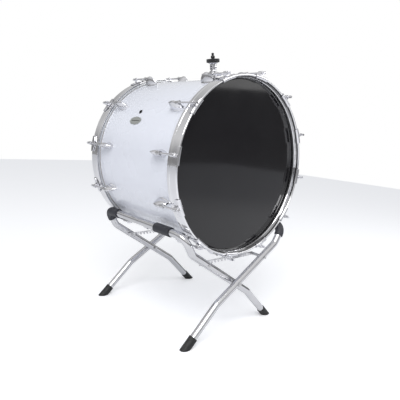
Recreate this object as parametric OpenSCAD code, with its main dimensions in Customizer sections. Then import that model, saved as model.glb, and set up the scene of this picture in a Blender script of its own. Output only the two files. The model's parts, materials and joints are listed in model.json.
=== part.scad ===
// Bass drum lying in a folding cross-leg stand, with a cymbal holder on top.
// The drum's axis runs along Y and the batter head faces -Y.
// The origin is on the floor, under the middle of the stand.

/* [Drum] */
// Outside diameter of the shell's plies
shell_d = 558.8; // [480:0.1:620]
// Length of the shell along the drum's axis
shell_len = 431.8; // [380:0.1:520]
// Thickness of the plies
shell_wall = 7.5; // [5:0.5:10]
// Thickness of the white covering
wrap_t = 0.6; // [0.4:0.1:1.2]
// Bare band left at each end of the covering
wrap_margin = 14; // [12:1:30]
// Width of the bearing edge's crest
edge_crest = 1.5; // [1:0.1:3]
// Height of the drum's lowest point above the floor
drum_floor = 271.4; // [271.4:0.1:330]
// Place of the drum's middle along the rails
drum_shift = -5; // [-8:1:0]
// Turn of the lugs about the drum's axis, from the top
lug_phase = 6.5; // [5:0.5:7]

/* [Hoops and heads] */
// Outside radius of the hoop over that of the covering
hoop_over = 12; // [12:0.5:14]
// Depth of the hoop
hoop_depth = 42; // [40:1:46]
// Distance from the rim to the head's playing surface
head_recess = 27.1; // [25:0.1:30]
// Thickness of the hoop's sheet
hoop_sheet = 1.6; // [1.4:0.1:2]
// Diameter of the rolled rim
rim_roll = 6.6; // [6:0.2:8]
// Distance from the rim to the bead on the inner wall
bead_depth = 20; // [15:1:22]
// Distance from the rim to the groove outside
groove_depth = 31; // [28:1:34]
// Thickness of the head's film
film_t = 0.4; // [0.3:0.05:0.5]
// Thickness of the flesh hoop, across the radius
flesh_t = 6.6; // [6:0.1:7]
// Depth of the flesh hoop
flesh_depth = 8; // [6:0.5:8]

/* [Claws and rods] */
// Width of a claw around the rim
claw_w = 54; // [48:1:54]
// Thickness of a claw's plate
claw_t = 2.5; // [2:0.1:3]
// Thickness of the pad between claw and hoop
pad_t = 1.2; // [0.8:0.1:1.6]
// Reach of a claw's lip into the hoop
claw_lip = 9; // [7:0.5:12]
// Reach of a claw's plate along the hoop's outside
claw_reach = 21; // [20:0.5:24]
// Radius of the claw's rod ear
ear_r = 6; // [5.5:0.1:6.2]
// Length of the claw's rod ear
ear_len = 14; // [12:1:16]
// Distance from the hoop's outside to the rod's axis
rod_out = 12; // [11.5:0.1:12.5]
// Diameter of the tension rod
rod_d = 6; // [5:0.1:6.4]
// Length of the rod under its washer
rod_len = 112; // [100:1:116]
// Width of the rod's square head
key_w = 6.4; // [5.5:0.1:7]
// Length of the rod's head above its washer, with the collar
key_len = 14; // [11:0.5:16]
// Diameter of the collar under the square head
collar_d = 10; // [9:0.5:11]
// Thickness of that collar
collar_t = 2.4; // [1.5:0.1:3]
// Thickness of the rod's washer
rod_washer_t = 1.2; // [1:0.1:2]
// Running clearance of the rod in its nut, on the radius
thread_play = 0.05; // [0.02:0.01:0.1]

/* [Lugs] */
// Length of a lug along the shell
lug_len = 70; // [66:1:80]
// Width of a lug
lug_w = 25; // [22:0.5:26]
// Height of a lug above the covering
lug_h = 32; // [31:0.5:34]
// Height of the lug's foot above the covering
lug_foot = 9; // [6:0.5:12]
// Length of the foot in front of the lug's mouth
lug_lip = 7; // [5:0.5:10]
// Distance from the rim to the lug's near end
lug_start = 58; // [56:1:70]
// Diameter of the swivel nut
nut_d = 10; // [9:0.5:11]
// Length of the swivel nut
nut_len = 22; // [18:1:26]
// Diameter of the lug's screws
lug_screw_d = 5; // [4:0.5:6]
// Distance between a lug's two screws
lug_screw_gap = 30; // [26:1:34]

/* [Badge and vent] */
// Width of the badge plate along the axis
badge_w = 62; // [44:1:66]
// Height of the badge plate
badge_h = 28; // [22:1:34]
// Thickness of the badge plate
badge_t = 1.4; // [1:0.1:2]
// Angle of the badge from the top
badge_angle = -64; // [-68:1:-62]
// Distance from the front rim to the badge's middle
badge_depth = 274; // [260:1:300]
// Angle of the air vent from the top
vent_angle = -57; // [-57:1:-50]
// Distance from the front rim to the air vent
vent_depth = 271; // [260:1:300]
// Radius of the air vent's bore
vent_r = 4; // [3:0.5:6]
// Width of the grommet's flange around the bore
vent_flange = 3; // [2:0.5:4]

/* [Cymbal holder] */
// Angle of the holder from the top
holder_angle = -6; // [-8:1:-4]
// Distance from the front rim to the holder
holder_depth = 158; // [140:1:180]
// Length of the holder's base plate
base_len = 62; // [52:1:70]
// Width of the holder's base plate
base_w = 34; // [32:1:38]
// Diameter of the socket on the base
socket_d = 26; // [25:0.5:28]
// Height of the socket above the covering
socket_h = 26; // [26:0.5:28]
// Diameter of the post
post_d = 15; // [12:0.5:16]
// Height of the post's eye above the covering
eye_h = 38; // [38:0.5:42]
// Diameter of the tilter's pivot pin
tilt_pin_d = 5; // [4:0.5:6]
// Lean of the tilter at rest
tilt_rest = 4; // [0:1:8]
// Diameter of the cymbal cup
cup_d = 31; // [26:1:34]
// Diameter of the black felt
felt_d = 44; // [38:1:48]
// Thickness of the black felt
felt_t = 12.5; // [10:0.5:14]
// Diameter of the cymbal stud
stud_d = 7; // [6:0.5:8]
// Length of the stud inside the wing nut
stud_free = 8.5; // [6:0.5:9]
// Outside diameter of the tilter's fork
fork_d = 22; // [20:0.5:23]
// Diameter of the wing nut's body
wing_nut_d = 14; // [12:0.5:16]

/* [Stand] */
// Outside diameter of the tube
tube_d = 25; // [24:0.2:25.4]
// Wall of the tube
tube_wall = 1.6; // [1.2:0.1:2]
// Radius of the bends, to the tube's middle
bend_r = 38; // [36:1:42]
// Distance from the middle to the inner frame's leg plane
inner_y = 224; // [222:0.5:224]
// Gap between the two frames' tubes at the pivot
pivot_gap = 4.5; // [4.5:0.5:6]
// Angle of the rails from straight below the drum
rail_angle = 46.5; // [46:0.5:47]
// Distance from the middle to the leg's knee, across
knee_x = 186; // [184:1:190]
// Height of the leg's knee above the floor
knee_z = 290; // [286:1:292]
// Distance from the middle to the leg's ankle, across
ankle_x = 90; // [80:1:100]
// Height of the leg's ankle above the floor
ankle_z = 117; // [110:1:125]
// Distance from the middle to a foot, across
foot_x = 199.6; // [190:0.2:210]
// Wall of the rail's rubber sleeve
sleeve_wall = 3.2; // [2.8:0.1:3.4]
// Length of a straight rubber sleeve
sleeve_len = 78; // [60:1:80]
// Diameter of the foot's rubber cap
cap_d = 29; // [27.5:0.1:29]
// Length of the foot's rubber cap
cap_len = 32; // [28:1:40]
// Diameter of the pivot bolt
pivot_d = 8; // [6:0.5:10]
// Width of the pivot bolt's nut
pivot_nut_w = 14; // [13:0.5:16]
// Diameter of the washer between the two frames
spacer_d = 20; // [16:0.5:22]

/* [Notched straps] */
// Height of the strap's holes above the floor
strap_z = 249; // [247:0.5:250]
// Height of the strap
strap_h = 13; // [11:0.5:13]
// Thickness of the strap
strap_t = 2; // [1.5:0.1:2.5]
// Distance between two notches
notch_pitch = 15.5; // [15:0.1:16]
// Number of notches
notch_count = 8; // [5:1:9]
// Depth of a notch
notch_depth = 7; // [6:0.5:7.5]
// Diameter of the catch pin
catch_d = 5; // [4:0.5:5]
// Slope of a notch's open side, across for each unit down
notch_slope = 0.75; // [0.7:0.01:0.8]
// Diameter of the strap's bolt
strap_bolt_d = 6; // [5:0.5:7]
// Diameter of the strap bolt's shoulder, and width of its nut
shoulder_d = 10; // [9:0.5:11]

/* [Hidden] */
$fn = 96;

// A face that rests on a curved neighbour of the same body stands off by this much
seat = 0.1;
// What every boolean cut runs past the face it leaves
past = 1;

lug_count = 12;
shell_r = shell_d / 2;
skin_r = shell_r + wrap_t;
hoop_r = skin_r + hoop_over;
drum_half = shell_len / 2 + head_recess;
rod_r = hoop_r + rod_out;
axis_z = drum_floor + hoop_r;
sleeve_r = tube_d / 2 + sleeve_wall;
// The hoops rest on the sleeves, with a hair of clearance
rest_gap = 0.3;
rail_r = hoop_r + sleeve_r + rest_gap;
rail = [rail_r * sin(rail_angle), axis_z - rail_r * cos(rail_angle)];
outer_y = inner_y + tube_d + pivot_gap;
knee = [knee_x, knee_z];
ankle = [ankle_x, ankle_z];
// Height of a tube's end above the floor, along its middle
foot_gap = 12;
// How far a straight run of tube laps over a bend, and how much thinner the bend is
lap = 1;
lap_step = 0.06;
// The legs cross where the line from knee to ankle passes the middle
pivot_z = knee[1] - knee[0] * (knee[1] - ankle[1]) / (knee[0] + ankle[0]);
lug_step = 360 / lug_count;
// Height of the clamp screw on the socket, and of the post's foot in it
clamp_z = socket_h - 8;
post_foot = 4;
// Depth of the face under a rod's washer: the claw's ear ends just inside the rim
ear_from = 1.5;
washer_from = ear_from - rod_washer_t;
// How quickly a lug's crown falls towards its ends
lug_crown = 0.3;
// Wall of the vent's grommet
vent_wall = 1;
// The cymbal cup's foot and height, and the wing nut's foot, above the tilter's pin
cup_z = 11.2;
cup_h = 5;
nut_z = cup_z + cup_h + felt_t + 0.5;
flesh_in = shell_r + wrap_t + 1.7;

// Turns the children's -Z side to face out along the drum: +1 is the front, -1 the rear.
// In the children's frame x is across, z is up from the axis and y is the depth from the rim.
module at_end(side) {
    translate([0, drum_shift, axis_z])
        mirror([0, side < 0 ? 1 : 0, 0])
            translate([0, -drum_half, 0])
                children();
}

// Puts the children at an angle from the top, with z along the radius.
module at_angle(a) {
    rotate([0, a, 0]) children();
}

// The children at every tension point, given in the frame of at_end.
module at_lugs(side) {
    at_end(side)
        for (i = [0 : lug_count - 1])
            at_angle(lug_phase + i * lug_step)
                children();
}

// A ring about the drum's axis: its outline is drawn as [radius, depth].
module ring(outline) {
    rotate([-90, 0, 0])
        rotate_extrude($fn = 180)
            polygon(outline);
}

// A stretch of such a ring, as wide as given along its outside, centred on the top.
module ring_piece(outline, width, radius) {
    turn = width / radius * 180 / PI;
    rotate([-90, 0, 0])
        rotate([0, 0, -90 - turn / 2])
            rotate_extrude(angle = turn, $fn = 180)
                polygon(outline);
}

// Points on an arc, from one angle to another.
function arc(c, r, from, to, steps = 8) =
    [for (i = [0 : steps]) let (a = from + (to - from) * i / steps) [c[0] + r * cos(a), c[1] + r * sin(a)]];

// ---- drum ----

module shell() {
    edge = (shell_wall - edge_crest) / 2;
    color("burlywood")
        translate([0, drum_shift, axis_z])
            difference() {
                rotate([-90, 0, 0])
                    rotate_extrude($fn = 180)
                        polygon([
                            [shell_r - shell_wall, -shell_len / 2 + edge],
                            [shell_r - shell_wall + edge, -shell_len / 2],
                            [shell_r - edge, -shell_len / 2],
                            [shell_r, -shell_len / 2 + edge],
                            [shell_r, shell_len / 2 - edge],
                            [shell_r - edge, shell_len / 2],
                            [shell_r - shell_wall + edge, shell_len / 2],
                            [shell_r - shell_wall, shell_len / 2 - edge]
                        ]);
                skin_holes();
            }
}

module shell_wrap() {
    half = shell_len / 2 - wrap_margin;
    color("white")
        translate([0, drum_shift, axis_z])
            difference() {
                rotate([-90, 0, 0])
                    rotate_extrude($fn = 180)
                        polygon([[shell_r, -half], [skin_r, -half], [skin_r, half], [shell_r, half]]);
                skin_holes();
            }
}

// Every hole through plies and covering, in the frame of the drum's middle.
module skin_holes() {
    for (side = [1, -1], i = [0 : lug_count - 1], k = [-1, 1])
        at_angle(lug_phase + i * lug_step)
            translate([0, side * (lug_mid_y() + k * lug_screw_gap / 2), shell_r])
                cylinder(d = lug_screw_d + 0.4, h = 4 * shell_wall, center = true, $fn = 24);
    at_angle(vent_angle)
        translate([0, vent_depth - drum_half, shell_r])
            cylinder(r = vent_r + vent_wall + 0.1, h = 4 * shell_wall, center = true, $fn = 32);
    at_angle(holder_angle)
        translate([0, holder_depth - drum_half, shell_r])
            for (k = [-1, 1])
                translate([0, k * holder_screw_gap() / 2, 0])
                    cylinder(d = lug_screw_d + 0.4, h = 4 * shell_wall, center = true, $fn = 24);
}

// Distance of a lug's middle from the drum's middle, along the axis.
function lug_mid_y() = drum_half - lug_start - lug_len / 2;
function holder_screw_gap() = base_len - 14;

// The rolled hoop: a thin outer wall, the rolled rim and an inner wall that presses the head.
module hoop(side) {
    roll = rim_roll / 2;
    inner = hoop_r - rim_roll;
    wall_in = hoop_r - 8.6;
    press = head_recess + 6;
    color("gainsboro")
        at_end(side)
            ring(concat(
                [[hoop_r, hoop_depth], [hoop_r, groove_depth + 1.5], [hoop_r - 1, groove_depth],
                 [hoop_r, groove_depth - 1.5]],
                arc([hoop_r - roll, roll], roll, 0, -180, 12),
                [[inner, claw_lip + 1], [wall_in, bead_depth - 3], [wall_in - 1, bead_depth - 1.5], [wall_in - 1, bead_depth + 1.5],
                 [wall_in, bead_depth + 3], [wall_in, press],
                 [wall_in + hoop_sheet, press],
                 [wall_in + hoop_sheet, bead_depth],
                 [inner + hoop_sheet, claw_lip + 1],
                 [inner + hoop_sheet, roll + 2],
                 [hoop_r - hoop_sheet, roll + 2],
                 [hoop_r - hoop_sheet, hoop_depth]]
            ));
}

module front_hoop() hoop(1);
module rear_hoop() hoop(-1);

// The film lies on the bearing edge and runs down inside its flesh hoop.
module head(side, tint) {
    crest = head_recess - seat;
    shoulder = shell_r - shell_wall / 2 + edge_crest / 2;
    color(tint)
        at_end(side)
            rotate([-90, 0, 0])
                rotate_extrude($fn = 180)
                    polygon([
                        [0, crest - film_t],
                        [shoulder, crest - film_t],
                        [flesh_in - seat, crest + 1.6],
                        [flesh_in - seat, crest + 6 + flesh_depth],
                        [flesh_in - seat - film_t, crest + 6 + flesh_depth],
                        [flesh_in - seat - film_t, crest + 2],
                        [shoulder, crest],
                        [0, crest]
                    ]);
}

module front_head() head(1, "dimgray");
module rear_head() head(-1, "ivory");

module flesh_hoop(side) {
    press = head_recess + 6;
    color("silver")
        at_end(side)
            ring([[flesh_in, press], [flesh_in + flesh_t, press],
                  [flesh_in + flesh_t, press + flesh_depth], [flesh_in, press + flesh_depth]]);
}

module front_flesh_hoop() flesh_hoop(1);
module rear_flesh_hoop() flesh_hoop(-1);

// A spindle outline: two arcs that meet in a point at each end.
module spindle(length, width, top) {
    bow = (length * length / 4 + width * width / 4) / width;
    linear_extrude(top)
        intersection() {
            translate([bow - width / 2, 0]) circle(r = bow, $fn = 180);
            translate([width / 2 - bow, 0]) circle(r = bow, $fn = 180);
        }
}

// One lug in the frame of at_end, at the top of the drum: a pointed foot that rises to a crown
// around the rod, with an open mouth towards the rim.
module lug() {
    mid = lug_start + lug_len / 2;
    crown = (lug_len * lug_len * lug_crown + lug_h * lug_h) / (2 * lug_h);
    difference() {
        intersection() {
            translate([0, mid, 0])
                spindle(lug_len, lug_w, skin_r + lug_h);
            translate([0, mid, skin_r + lug_h - crown])
                rotate([0, 90, 0])
                    cylinder(r = crown, h = lug_w * 2, center = true, $fn = 180);
        }
        rotate([-90, 0, 0])
            cylinder(r = skin_r + seat, h = 2 * mid, $fn = 180);
        translate([-lug_w, lug_start - past, skin_r + lug_foot])
            cube([2 * lug_w, lug_lip + past, 2 * lug_h]);
        translate([0, 0, rod_r])
            rotate([-90, 0, 0]) {
                cylinder(d = nut_d + 0.4, h = lug_start + lug_lip + nut_len + 1, $fn = 32);
                cylinder(d = rod_d + 1.5, h = lug_start + lug_len - 12, $fn = 32);
            }
        for (k = [-1, 1])
            translate([0, mid + k * lug_screw_gap / 2, skin_r - past])
                cylinder(d = lug_screw_d + 0.1, h = lug_foot + past, $fn = 24);
    }
}

module lugs() {
    color("lightgray") {
        at_lugs(1) lug();
        at_lugs(-1) lug();
    }
}

// A pan-head screw from inside the shell, pointing outwards.
module shell_screw(reach) {
    head_r = lug_screw_d * 0.95;
    inside = shell_r - shell_wall;
    translate([0, 0, inside - 3])
        cylinder(r = head_r, h = 2.6, $fn = 24);
    translate([0, 0, inside - 1])
        cylinder(d = lug_screw_d, h = shell_wall + wrap_t + 1 + reach, $fn = 24);
}

module lug_screws() {
    color("silver") {
        for (side = [1, -1])
            at_lugs(side)
                for (k = [-1, 1])
                    translate([0, lug_start + lug_len / 2 + k * lug_screw_gap / 2, 0])
                        shell_screw(8);
        at_end(1)
            at_angle(holder_angle)
                for (k = [-1, 1])
                    translate([0, holder_depth + k * holder_screw_gap() / 2, 0])
                        shell_screw(3);
    }
}

// The nut's collar stands at the lug's mouth and keeps it in.
module swivel_nut() {
    translate([0, lug_start + lug_lip, rod_r])
        rotate([-90, 0, 0])
            difference() {
                union() {
                    translate([0, 0, -1.6]) cylinder(d = nut_d + 3, h = 1.5, $fn = 32);
                    translate([0, 0, -past]) cylinder(d = nut_d, h = nut_len + past, $fn = 32);
                }
                translate([0, 0, -2 * past])
                    cylinder(d = rod_d + 2 * thread_play, h = nut_len + 4 * past, $fn = 32);
            }
}

module swivel_nuts() {
    color("silver") {
        at_lugs(1) swivel_nut();
        at_lugs(-1) swivel_nut();
    }
}

// ---- claws and rods ----

// The J section of a layer that hooks over the rim, between two offsets from the hoop.
function hook(near, far, reach) = let (
        outer = hoop_r,
        inner = hoop_r - rim_roll
    ) concat(
        [[outer + near, reach], [outer + far, reach]],
        arc([outer - rim_roll / 2, rim_roll / 2], rim_roll / 2 + far, 0, -180, 12),
        [[inner - far, claw_lip], [inner - near, claw_lip]],
        arc([outer - rim_roll / 2, rim_roll / 2], rim_roll / 2 + near, -180, 0, 12)
    );

module claw() {
    near = pad_t + seat;
    far = pad_t + seat + claw_t;
    difference() {
        union() {
            intersection() {
                ring_piece(hook(near, far, claw_reach), claw_w, hoop_r);
                claw_outline();
            }
            translate([0, ear_from, rod_r])
                rotate([-90, 0, 0])
                    cylinder(r = ear_r, h = ear_len, $fn = 48);
            translate([-ear_r, ear_from, hoop_r + near + 0.5])
                cube([2 * ear_r, ear_len, rod_r - hoop_r - near - 0.5]);
        }
        translate([0, -past, rod_r])
            rotate([-90, 0, 0])
                cylinder(d = rod_d + 1, h = claw_reach + past, $fn = 32);
    }
}

// The outline that rounds a claw's plate: a wide arch around the rim, in plan from above.
module claw_outline() {
    bow = claw_w * 0.9;
    translate([0, claw_reach - bow, hoop_r - 40])
        cylinder(r = bow, h = 80, $fn = 96);
}

module claws() {
    color("silver") {
        at_lugs(1) claw();
        at_lugs(-1) claw();
    }
}

module claw_pad() {
    ring_piece(hook(seat, pad_t, claw_reach - 9), claw_w - 8, hoop_r);
}

module claw_pads() {
    color("dimgray") {
        at_lugs(1) claw_pad();
        at_lugs(-1) claw_pad();
    }
}

module rod_washer() {
    translate([0, washer_from, rod_r])
        rotate([-90, 0, 0])
            difference() {
                cylinder(d = 2 * ear_r - 1, h = rod_washer_t, $fn = 32);
                translate([0, 0, -past]) cylinder(d = rod_d + 0.6, h = rod_washer_t + 2 * past, $fn = 32);
            }
}

module rod_washers() {
    color("gainsboro") {
        at_lugs(1) rod_washer();
        at_lugs(-1) rod_washer();
    }
}

// Turn of each rod about its own axis: no two stand quite alike.
function rod_turn(side, i) = (i * 37 + (side > 0 ? 11 : 52)) % 90;

// One tension rod: a square head for a drum key, a collar and the plain shank.
module key_rod(side, i) {
    color("silver")
        at_end(side)
            at_angle(lug_phase + (i - 1) * lug_step)
                translate([0, washer_from, rod_r])
                    rotate([0, rod_turn(side, i), 0])
                        rotate([-90, 0, 0]) {
                            translate([0, 0, -collar_t - past]) cylinder(d = rod_d, h = rod_len + collar_t + past, $fn = 32);
                            translate([0, 0, -collar_t - seat]) cylinder(d = collar_d, h = collar_t, $fn = 32);
                            translate([-key_w / 2, -key_w / 2, -key_len])
                                cube([key_w, key_w, key_len - collar_t]);
                        }
}

// ---- badge and vent ----

// A bare oval plate, bent to the covering.
module badge_plate() {
    color("lightsteelblue")
        at_end(1)
            at_angle(badge_angle)
                translate([0, badge_depth, 0])
                    difference() {
                        intersection() {
                            rotate([-90, 0, 0])
                                cylinder(r = skin_r + seat + badge_t, h = badge_w * 2, center = true, $fn = 180);
                            translate([0, 0, skin_r - badge_h / 4])
                                rotate([0, 0, 90])
                                    spindle_oval(badge_w, badge_h, badge_h / 2);
                        }
                        rotate([-90, 0, 0])
                            cylinder(r = skin_r + seat, h = badge_w * 3, center = true, $fn = 180);
                    }
}

// An oval of four arcs: two large along the sides, two small at the ends.
module spindle_oval(length, width, height) {
    end_r = width * 0.3;
    bow = ((length / 2 - end_r) * (length / 2 - end_r) + width * width / 4 - end_r * end_r)
        / (width - 2 * end_r);
    linear_extrude(height)
        intersection() {
            translate([0, bow - width / 2]) circle(r = bow, $fn = 96);
            translate([0, width / 2 - bow]) circle(r = bow, $fn = 96);
            circle(r = length / 2, $fn = 96);
        }
}

// A flanged bush through plies and covering: the drum's air hole.
module vent_grommet() {
    through = shell_wall + wrap_t;
    flange_t = 1.2;
    color("dimgray")
        at_end(1)
            at_angle(vent_angle)
                translate([0, vent_depth, shell_r - shell_wall])
                    difference() {
                        union() {
                            translate([0, 0, -0.6 - flange_t])
                                cylinder(r = vent_r + vent_flange, h = flange_t, $fn = 32);
                            translate([0, 0, -0.6 - flange_t])
                                cylinder(r = vent_r + vent_wall, h = through + 2 * flange_t + 1, $fn = 32);
                            translate([0, 0, through + 0.4])
                                cylinder(r = vent_r + vent_flange, h = flange_t, $fn = 32);
                        }
                        translate([0, 0, -through]) cylinder(r = vent_r, h = 4 * through, $fn = 32);
                    }
}

// ---- cymbal holder ----

// The holder's frame: z is the radius through its base, with zero on the covering.
module at_holder() {
    at_end(1)
        at_angle(holder_angle)
            translate([0, holder_depth, skin_r])
                children();
}

// The tilting part's frame: its origin is the pivot pin, leaning at rest.
module at_tilter() {
    at_holder()
        translate([0, 0, eye_h])
            rotate([0, -tilt_rest, 0])
                children();
}

module holder_base() {
    color("gainsboro")
        at_holder()
            difference() {
                union() {
                    intersection() {
                        translate([-base_w / 2, -base_len / 2, -4]) cube([base_w, base_len, 9]);
                        cylinder(d = base_len, h = 30, center = true, $fn = 96);
                    }
                    cylinder(d = socket_d, h = socket_h, $fn = 64);
                    translate([0, 0, clamp_z])
                        rotate([90, 0, 60])
                            cylinder(d = 13, h = socket_d / 2 + 5, $fn = 32);
                }
                translate([0, 0, -skin_r])
                    rotate([-90, 0, 0])
                        cylinder(r = skin_r + seat, h = base_len * 2, center = true, $fn = 180);
                translate([0, 0, post_foot]) cylinder(d = post_d + 0.1, h = socket_h, $fn = 48);
                translate([0, 0, clamp_z])
                    rotate([90, 0, 60])
                        cylinder(d = rod_d + 2 * thread_play, h = socket_d, $fn = 32);
                for (k = [-1, 1])
                    translate([0, k * holder_screw_gap() / 2, -8])
                        cylinder(d = lug_screw_d + 0.1, h = 11.5, $fn = 24);
            }
}

// The post stands in the socket and ends in a flat eye for the tilter's pin.
module holder_post() {
    color("silver")
        at_holder()
            difference() {
                union() {
                    translate([0, 0, post_foot]) cylinder(d = post_d, h = eye_h - post_foot - 10, $fn = 48);
                    translate([0, 0, socket_h + 0.4]) cylinder(d = socket_d - 4, h = 2, $fn = 64);
                    translate([-6, -4, socket_h + 1]) cube([12, 8, eye_h - socket_h - 1]);
                    translate([0, 0, eye_h])
                        rotate([90, 0, 0]) cylinder(r = 6, h = 8, center = true, $fn = 48);
                }
                translate([0, 0, eye_h])
                    rotate([90, 0, 0])
                        cylinder(d = tilt_pin_d + 0.1, h = 30, center = true, $fn = 32);
            }
}

// A screw with a curved wing, clamping the post in its socket.
module holder_clamp_screw() {
    color("gainsboro")
        at_holder()
            translate([0, 0, clamp_z])
                rotate([90, 0, 60]) {
                    translate([0, 0, post_d / 2 + 0.3])
                        cylinder(d = rod_d, h = socket_d / 2 + 9 - post_d / 2, $fn = 32);
                    translate([0, 0, socket_d / 2 + 6])
                        cylinder(d = 11, h = 8, $fn = 32);
                    translate([0, 0, socket_d / 2 + 10])
                        wing_bar();
                }
}

module wing_bar() {
    for (k = [0, 180])
        rotate([0, 0, k])
            translate([2, 0, 12])
                rotate([90, 0, 0])
                    intersection() {
                        difference() {
                            cylinder(r = 13, h = 3, center = true, $fn = 64);
                            cylinder(r = 8.5, h = 4, center = true, $fn = 64);
                        }
                        translate([0, -14, -5]) cube([18, 18, 10]);
                    }
}

// The tilter's fork straddles the post's eye and carries the cymbal stud.
module tilter() {
    fork = 8.6;
    color("silver")
        at_tilter()
            difference() {
                union() {
                    difference() {
                        translate([0, 0, -6.5]) cylinder(d = fork_d, h = 17.5, $fn = 64);
                        translate([-15, -fork / 2, -20]) cube([30, fork, 27]);
                    }
                    translate([0, 0, 8])
                        cylinder(d = stud_d, h = nut_z + stud_free - 8, $fn = 32);
                }
                rotate([90, 0, 0])
                    cylinder(d = tilt_pin_d + 2 * thread_play, h = 40, center = true, $fn = 32);
            }
}

// The tilter's pin screw: it passes the fork and the eye and ends in a knob.
module tilter_screw() {
    color("gainsboro")
        at_tilter()
            rotate([90, 0, 0]) {
                translate([0, 0, -fork_d / 2 + 0.3]) cylinder(d = tilt_pin_d, h = fork_d + 1, $fn = 32);
                translate([0, 0, fork_d / 2 + 0.4]) cylinder(d = 10, h = 3, $fn = 32);
                translate([-4.5, -2, fork_d / 2 + 3]) cube([9, 4, 8]);
            }
}

module cymbal_cup() {
    color("silver")
        at_tilter()
            translate([0, 0, cup_z])
                rotate_extrude($fn = 64)
                    polygon([[stud_d / 2 + 0.3, 0], [9, 0], [cup_d / 2, cup_h - 1],
                             [cup_d / 2, cup_h], [stud_d / 2 + 0.3, cup_h]]);
}

module cymbal_felt() {
    z = cup_z + cup_h + seat;
    color("black")
        at_tilter()
            translate([0, 0, z])
                rotate_extrude($fn = 64)
                    polygon(concat(
                        [[stud_d / 2 + 0.5, 0], [felt_d / 2 - 1.2, 0]],
                        arc([felt_d / 2 - 1.2, 1.2], 1.2, -90, 0, 4),
                        arc([felt_d / 2 - 1.2, felt_t - 1.2], 1.2, 0, 90, 4),
                        [[stud_d / 2 + 0.5, felt_t]]
                    ));
}

// The wing nut: a domed body on the stud with two short wings.
module wing_nut() {
    color("black")
        at_tilter()
            translate([0, 0, nut_z])
                difference() {
                    union() {
                        rotate_extrude($fn = 48)
                            polygon([[0, 0], [wing_nut_d / 2 - 2.5, 0], [wing_nut_d / 2, 4.5],
                                     [wing_nut_d / 2 - 1, 7.5], [3.4, 10.5], [3.6, 12], [4.6, 15],
                                     [3.4, 18], [0, 18.6]]);
                        translate([-wing_nut_d / 2 - 1.5, -1.5, 2.5]) cube([wing_nut_d + 3, 3, 5]);
                    }
                    translate([0, 0, -past])
                        cylinder(d = stud_d + 2 * thread_play, h = stud_free + 0.6 + past, $fn = 32);
                }
}

// ---- stand ----

function unit(v) = v / norm(v);
// Part of a corner's two sides that its bend takes up.
function cut_back(a, p, b, bend) =
    let (half = acos(unit(a - p) * unit(b - p)) / 2) bend / tan(half);

// A round bar through the points, with a bend of the given radius at each inner one.
// The straight runs lap a little way over the bends, which are a hair thinner, so that all is one solid.
module bar(points, bend, r, over = 0) {
    last = len(points) - 1;
    for (i = [0 : last - 1]) {
        p = points[i];
        q = points[i + 1];
        d = unit(q - p);
        start = i == 0 ? p - d * over : p + d * (cut_back(points[i - 1], p, q, bend) - lap);
        stop = i == last - 1 ? q + d * over : q - d * (cut_back(p, q, points[i + 2], bend) - lap);
        stick(start, stop, r);
    }
    for (i = [1 : 1 : last - 1])
        elbow(points[i - 1], points[i], points[i + 1], bend, r - lap_step);
}

// A straight cylinder from one point to another.
module stick(a, b, r) {
    v = b - a;
    translate(a)
        rotate([0, acos(v[2] / norm(v)), atan2(v[1], v[0])])
            cylinder(r = r, h = norm(v), $fn = 64);
}

// The bend at p between the runs towards a and b.
module elbow(a, p, b, bend, r) {
    back = cut_back(a, p, b, bend);
    t1 = p + unit(a - p) * back;
    t2 = p + unit(b - p) * back;
    half = acos(unit(a - p) * unit(b - p)) / 2;
    mid = p + unit(unit(a - p) + unit(b - p)) * bend / sin(half);
    x = unit(t1 - mid);
    z = unit(cross(t1 - mid, t2 - mid));
    y = cross(z, x);
    multmatrix([[x[0], y[0], z[0], mid[0]], [x[1], y[1], z[1], mid[1]], [x[2], y[2], z[2], mid[2]],
                [0, 0, 0, 1]])
        rotate_extrude(angle = 180 - 2 * half, $fn = 96)
            translate([bend, 0]) circle(r = r, $fn = 64);
}

// A frame's centre line from foot to foot; side is -1 where its rail is on the -X side.
function frame_line(side, y) = [
    [-side * foot_x, -y, foot_gap], [-side * ankle[0], -y, ankle[1]],
    [side * knee[0], -y, knee[1]], [side * rail[0], -y, rail[1]],
    [side * rail[0], y, rail[1]], [side * knee[0], y, knee[1]],
    [-side * ankle[0], y, ankle[1]], [-side * foot_x, y, foot_gap]];

module frame(side, y) {
    difference() {
        bar(frame_line(side, y), bend_r, tube_d / 2);
        bar(frame_line(side, y), bend_r, tube_d / 2 - tube_wall, past);
        translate([0, 0, pivot_z])
            rotate([90, 0, 0])
                cylinder(d = pivot_d + 2 * thread_play, h = 2 * y + 2 * tube_d, center = true, $fn = 32);
        translate([side * strap_x(), 0, strap_z])
            rotate([90, 0, 0])
                cylinder(d = strap_bolt_d + 2 * thread_play, h = 2 * y + 2 * tube_d, center = true, $fn = 32);
    }
}

// Where a leg's middle line passes the strap's height.
function strap_x() = knee[0] - (knee[1] - strap_z) * (knee[0] + ankle[0]) / (knee[1] - ankle[1]);
// The straps pass inside the sleeves as the frames close.
function strap_y() = inner_y - sleeve_r - 0.8 - strap_t / 2;

module inner_frame() color("silver") frame(-1, inner_y);
module outer_frame() color("silver") frame(1, outer_y);

// A rubber tube drawn over part of a frame's line.
module sleeve(points) {
    difference() {
        bar(points, bend_r, sleeve_r);
        bar(points, bend_r, tube_d / 2 + seat / 2, past);
    }
}

// A sleeve at a rail's end: along the rail and round the corner into the leg.
module corner_sleeve(side, y, along) {
    top = [side * rail[0], y, rail[1]];
    low = [side * knee[0], y, knee[1]];
    down = unit(low - top);
    inward = [0, y > 0 ? -1 : 1, 0];
    back = cut_back(top + inward, top, low, bend_r);
    sleeve([top + inward * (back + along), top, top + down * (back + 2)]);
}

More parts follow.
